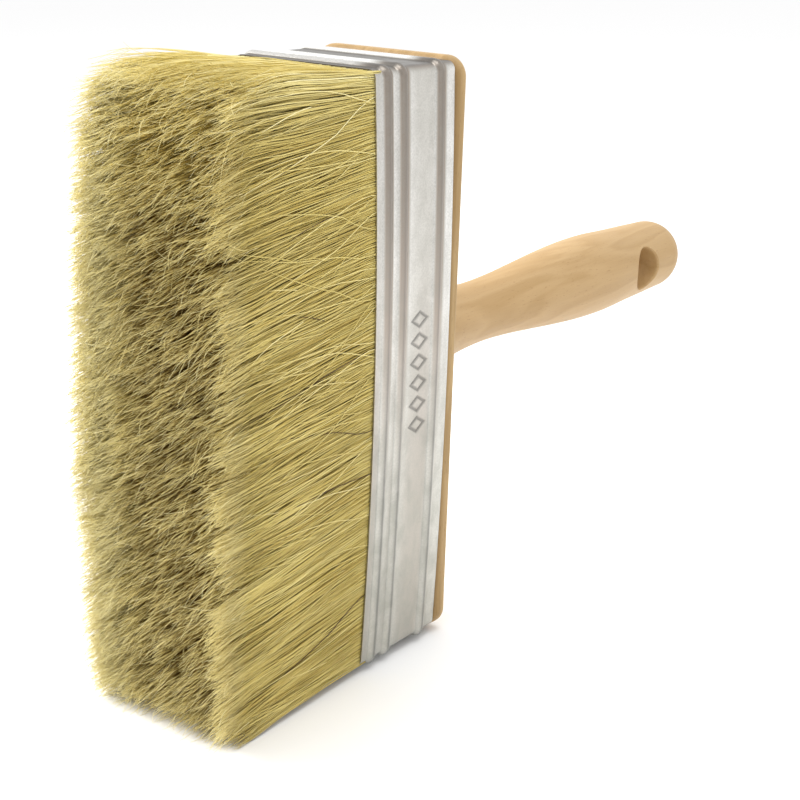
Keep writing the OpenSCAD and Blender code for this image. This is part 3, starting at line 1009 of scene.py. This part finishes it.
def stray_paths(side, count, fields, rng):
    """Loose curved bristles that lie across a wide face; side is -1 for the near face."""
    z = rng.uniform(-FERRULE_HALF_W + 6, FERRULE_HALF_W - 3, count)
    y = side * (mouth_half_y(z) - 0.05)
    whole = rng.random(count) < 0.45
    start = np.where(whole, -2.0, rng.uniform(6, 30, count))
    length = np.where(whole, rng.uniform(40, 49, count), start + rng.uniform(8, 20, count))
    paths = strand_paths(y, z, length, start, STRAY_STEPS, fields, rng)
    s = -paths[..., 0]
    run = (s - s[:, :1]) / 48
    turn = rng.normal(0.02, 0.16, count)[:, None] * (s - s[:, :1])
    curve = rng.normal(0, 9.0, count)[:, None] * run * (run - 0.9)
    paths[..., 2] += turn * np.clip(s / 12, 0, 1) + curve
    lift = 0.12 + 0.5 * rng.random(count)[:, None] * np.sin(math.pi * np.clip(run * 1.3, 0, 1))
    inside = mouth_half_y(np.clip(paths[..., 2], -FERRULE_HALF_W, FERRULE_HALF_W))
    paths[..., 1] = side * (inside + FACE_FLARE * s + lift * np.clip(s / 4, 0, 1))
    paths[..., 2] = np.clip(paths[..., 2], FLOOR_Z + 0.3, FERRULE_HALF_W + 3)
    return y, z, paths


def tubes(paths, radii, colours):
    """Three-sided closed tubes round the paths: points, triangles and a colour for each point."""
    count, rings, _ = paths.shape
    direction = np.gradient(paths, axis=1)
    direction /= np.linalg.norm(direction, axis=2, keepdims=True) + 1e-12
    side = np.cross(direction, np.array([0.0, 0.0, 1.0]))
    side /= np.linalg.norm(side, axis=2, keepdims=True) + 1e-12
    other = np.cross(direction, side)
    corners = []
    for k in range(3):
        angle = 2 * math.pi * k / 3
        corners.append(paths + radii[..., None] * (math.cos(angle) * side + math.sin(angle) * other))
    points = np.stack(corners, axis=2)
    base = (np.arange(count) * rings * 3)[:, None, None]
    ring = (np.arange(rings - 1) * 3)[None, :, None]
    k = np.arange(3)[None, None, :]
    n = (k + 1) % 3
    a, b = base + ring + k, base + ring + n
    c, d = b + 3, a + 3
    sides = np.stack([np.stack([a, b, c], -1), np.stack([a, c, d], -1)], axis=-2).reshape(-1, 3)
    first = (np.arange(count) * rings * 3)[:, None]
    last = first + (rings - 1) * 3
    caps = np.concatenate([first + np.array([[0, 2, 1]]), last + np.array([[0, 1, 2]])])
    triangles = np.concatenate([sides, caps])
    tones = np.repeat(colours[:, :, None, :], 3, axis=2)
    return points.reshape(-1, 3), triangles, tones.reshape(-1, 4)


def hair_object(name, paths, radii, colours, material):
    """One mesh object of many strands, built straight from arrays."""
    points, triangles, tones = tubes(paths, radii, colours)
    mesh = bpy.data.meshes.new(name)
    mesh.vertices.add(len(points))
    mesh.vertices.foreach_set("co", placed(points).astype(np.float32).ravel())
    mesh.loops.add(len(triangles) * 3)
    mesh.loops.foreach_set("vertex_index", triangles.astype(np.int32).ravel())
    mesh.polygons.add(len(triangles))
    mesh.polygons.foreach_set("loop_start", np.arange(0, len(triangles) * 3, 3, dtype=np.int32))
    mesh.polygons.foreach_set("use_smooth", np.ones(len(triangles), bool))
    mesh.update(calc_edges=True)
    mesh.materials.append(material)
    obj = linked(name, mesh)
    add_tones(obj, "strand", tones)
    return obj


def add_strands(kind, y, z, paths, radii, colours, material):
    """Strands as mesh pieces, split by pack and so that no piece is too heavy."""
    across = (y + FERRULE_HALF_T) / (2 * FERRULE_HALF_T)
    pack = np.clip(np.floor(across * len(PACKS)), 0, len(PACKS) - 1).astype(int)
    per_strand = (paths.shape[1] - 1) * 6 + 2
    for index, word in enumerate(PACKS):
        members = np.nonzero(pack == index)[0]
        if len(members) == 0:
            continue
        members = members[np.argsort(z[members], kind="stable")]
        parts = math.ceil(len(members) * per_strand / FACES_PER_PIECE)
        for part, chosen in enumerate(np.array_split(members, parts)):
            name = f"bristles_{word}_{kind}_{part + 1}"
            piece = hair_object(name, paths[chosen], radii[chosen], colours[chosen], material)
            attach(piece, "root")
            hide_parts("bristles_" + word)
    print(kind, "strands", len(y), "faces", len(y) * per_strand)


def strand_tints(count, spread, rng):
    """Natural spread of tint from bristle to bristle about the middle, with a few dark ones."""
    tint = 0.5 + spread * (np.clip(rng.beta(3.6, 3.6, count), 0.04, 1.0) - 0.5)
    return np.where(rng.random(count) < DARK_SHARE, 0.0, tint)


def make_mass(material):
    """The close-packed bristle behind the outer layers, ridged along the strands, as one skin under painted
    shade.
    """
    rng = np.random.default_rng(SEED + 1)
    angles = np.linspace(0, 2 * math.pi, MASS_SIDES + 1)[:-1]
    power = MASS_SQUARENESS
    squareness = (np.abs(np.cos(angles)) ** power + np.abs(np.sin(angles)) ** power) ** (-1 / power)
    z = squareness * np.sin(angles) * (FERRULE_HALF_W - MASS_DEPTH)
    y = squareness * np.cos(angles) * (mouth_half_y(z) - MASS_DEPTH)
    lean = lean_at(z)
    ridge = rng.normal(0, 0.10, len(angles))
    stops = np.linspace(-1.0, MASS_REACH, MASS_ROWS)
    close = 1 - 0.55 * smoothstep((stops - MASS_REACH + 6) / 6) ** 2
    points, tones = [], []
    tint = rng.uniform(0.1, 0.9, len(angles))
    for stop, narrow in zip(stops, close):
        shift = ridge + rng.normal(0, 0.03, len(angles))
        ring_y = (y + np.sign(y) * shift) * narrow
        ring_z = (z + shift) * (0.5 + 0.5 * narrow) - lean * max(stop, 0.0)
        points.append(np.stack([np.full(len(y), -stop), ring_y, ring_z], axis=-1))
        way = np.full(len(y), stop / BRISTLE_LEN)
        # The skin's painted shade, the same all over
        tones.append(np.stack([tint, way, MASS_UNSHADED + 0 * y, 1 + 0 * y], axis=-1))
    n, rows = len(angles), len(stops)
    faces = []
    for i in range(rows - 1):
        for j in range(n):
            k = (j + 1) % n
            faces.append((i * n + j, i * n + k, (i + 1) * n + k, (i + 1) * n + j))
    faces.append(tuple(reversed(range(n))))
    faces.append(tuple((rows - 1) * n + j for j in range(n)))
    mass = new_object("bristles_middle_mass", np.concatenate(points), faces, material)
    add_tones(mass, "strand", np.clip(np.concatenate(tones), 0, 1))
    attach(mass, "root")
    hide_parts("bristles_middle")


def make_bristles(material):
    """All the bristles: outer layers, core, split ends and loose strays."""
    rng = np.random.default_rng(SEED)
    fields = {"tufts": Tufts(rng, TUFT_SIZE), "wisps": Tufts(rng, WISP_SIZE)}
    for name, size_z, size_y, size_s in FIELD_SIZES:
        fields[name] = Field(rng, size_z, size_y, size_s)
    y, z = shell_roots(rng)
    length = strand_lengths(y, z, fields, rng)
    paths = strand_paths(y, z, length, np.full(len(y), SHELL_START), SHELL_STEPS, fields, rng)
    radii = strand_radii(paths, STRAND_R * rng.uniform(0.8, 1.2, len(y)))
    tint = strand_tints(len(y), SHELL_TINT_SPREAD, rng)
    colours = strand_colours(y, z, paths, tint, fields)
    add_strands("shell", y, z, paths, radii, colours, material)

    core_y, core_z = core_roots(rng)
    core_length = strand_lengths(core_y, core_z, fields, rng)
    core_start = core_length - CORE_REACH
    core = strand_paths(core_y, core_z, core_length, core_start, CORE_STEPS, fields, rng)
    core_radii = strand_radii(core, STRAND_R * rng.uniform(0.85, 1.25, len(core_y)))
    core_tint = strand_tints(len(core_y), CORE_TINT_SPREAD, rng)
    core_colours = strand_colours(core_y, core_z, core, core_tint, fields)
    add_strands("core", core_y, core_z, core, core_radii, core_colours, material)

    for kind, owner, owner_y, owner_z, share in (
        ("flags_outer", paths, y, z, OUTER_FLAG_SHARE),
        ("flags", core, core_y, core_z, CORE_FLAG_SHARE),
    ):
        chosen = rng.random(len(owner)) < share * (1 + 1.2 * smoothstep((owner_y - 6) / 8))
        flags = flag_paths(owner[chosen], rng)
        flag_radii = np.linspace(*FLAG_RADII, FLAG_STEPS + 1)[None, :] * np.ones((len(flags), 1))
        tint = np.clip(rng.beta(5, 2, len(flags)) + 0.14, 0.3, 1.0)
        flag_colours = strand_colours(owner_y[chosen], owner_z[chosen], flags, tint, fields)
        add_strands(kind, owner_y[chosen], owner_z[chosen], flags, flag_radii, flag_colours, material)

    for side in (-1, 1):
        stray_y, stray_z, strays = stray_paths(side, STRAY_COUNT, fields, rng)
        dark = rng.random(STRAY_COUNT) < DARK_STRAY_SHARE
        tint = np.where(dark, 0.0, rng.uniform(0.5, 0.95, STRAY_COUNT))
        stray_radii = strand_radii(strays, np.full(STRAY_COUNT, STRAY_R))
        stray_colours = strand_colours(stray_y, stray_z, strays, tint, fields)
        add_strands("strays", stray_y, stray_z, strays, stray_radii, stray_colours, material)


# ------ Studio ------
# From the brush to the floor's edges, in metres
FLOOR_REACH = 6.0

# The surroundings' brightest direction, and their levels away from it and towards it
BRIGHT_SIDE = (0.74, 0.0, 0.67)
DIM_LEVEL = 0.47
BRIGHT_LEVEL = 1.26

# Lamps, as (name, place and aim in the drawing frame, side in metres, power in watts)
LAMPS = (
    ("key", (0, -120, 800), (-20, 0, 0), 0.5, 3.0),
    ("far", (-270, 600, 420), (-30, 0, 20), 0.4, 8.5),
)


def make_floor(material):
    """Wide plain floor under the brush."""
    mesh = bpy.data.meshes.new("floor")
    corners = [(x * FLOOR_REACH, y * FLOOR_REACH, 0) for x, y in ((-1, -1), (1, -1), (1, 1), (-1, 1))]
    mesh.from_pydata(corners, [], [(0, 1, 2, 3)])
    mesh.materials.append(material)
    floor = linked("floor", mesh)


def make_light(name, at, aim, size, power):
    """A soft square lamp at a point of the drawing frame, in millimetres, aimed at another."""
    data = bpy.data.lights.new(name, "AREA")
    data.size = size
    data.energy = power
    lamp = linked(name, data)
    lamp.location = Vector(placed(at))
    direction = Vector(placed(aim)) - lamp.location
    lamp.rotation_mode = "QUATERNION"
    lamp.rotation_quaternion = direction.to_track_quat("-Z", "Y")


def add_sky_nodes(tree, background):
    """White surroundings, brightest high up beyond the handle, dimmest low down past the tips."""
    coords = tree.nodes.new("ShaderNodeTexCoord")
    toward = tree.nodes.new("ShaderNodeVectorMath")
    toward.operation = "DOT_PRODUCT"
    toward.inputs[1].default_value = BRIGHT_SIDE
    tree.links.new(coords.outputs["Generated"], toward.inputs[0])
    level = tree.nodes.new("ShaderNodeMapRange")
    ends = {"From Min": -1.0, "From Max": 1.0, "To Min": DIM_LEVEL, "To Max": BRIGHT_LEVEL}
    for key, number in ends.items():
        level.inputs[key].default_value = number
    tree.links.new(toward.outputs["Value"], level.inputs["Value"])
    tree.links.new(level.outputs[0], background.inputs["Strength"])
    background.inputs["Color"].default_value = (1.0, 1.0, 1.0, 1.0)


def make_studio():
    """Pale floor, white surroundings and soft lamps."""
    make_floor(floor_material())
    world = bpy.data.worlds.new("studio")
    world.use_nodes = True
    background = world.node_tree.nodes["Background"]
    add_sky_nodes(world.node_tree, background)
    bpy.context.scene.world = world
    bpy.context.scene.view_settings.view_transform = "Standard"
    for name, at, aim, size, power in LAMPS:
        make_light(name, at, aim, size, power)


# ------ The whole brush ------
make_camera()
make_studio()

# Woods, as (pale, dark and fleck colours); the block's fleck colour also paints its shade in the corner
# against the ferrule
HANDLE_BEECH = (srgb(181, 150, 105), srgb(170, 138, 91), srgb(150, 114, 71))
BLOCK_BEECH = (srgb(190, 159, 108), srgb(166, 136, 86), srgb(112, 82, 46))
STRIP_BEECH = (srgb(216, 184, 136), srgb(188, 148, 98), srgb(150, 108, 68))

ferrule_back = MOUTH.x / MM + FERRULE_LEN
handle_wood = beech_material("handle_wood", *HANDLE_BEECH, upright=False)
block_wood = beech_material("block_wood", *BLOCK_BEECH, upright=True, corner_at=ferrule_back)
strip_wood = beech_material("strip_wood", *STRIP_BEECH, upright=True)
tinplate = tinplate_material()
bristle = bristle_material()

make_handle(handle_wood)
make_ferrule(tinplate)
make_lap(tinplate)
make_bristles(bristle)
make_mass(bristle)

CARRIED_OVER = {
    "block": block_wood,
    "ferrule_tacks": steel_material(),
    "resin_setting": resin_material(),
    "filler_strip_near": strip_wood,
    "filler_strip_far": strip_wood,
}
for node_name, node_material in CARRIED_OVER.items():
    node_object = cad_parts[node_name]
    for material_slot in node_object.material_slots:
        material_slot.material = node_material
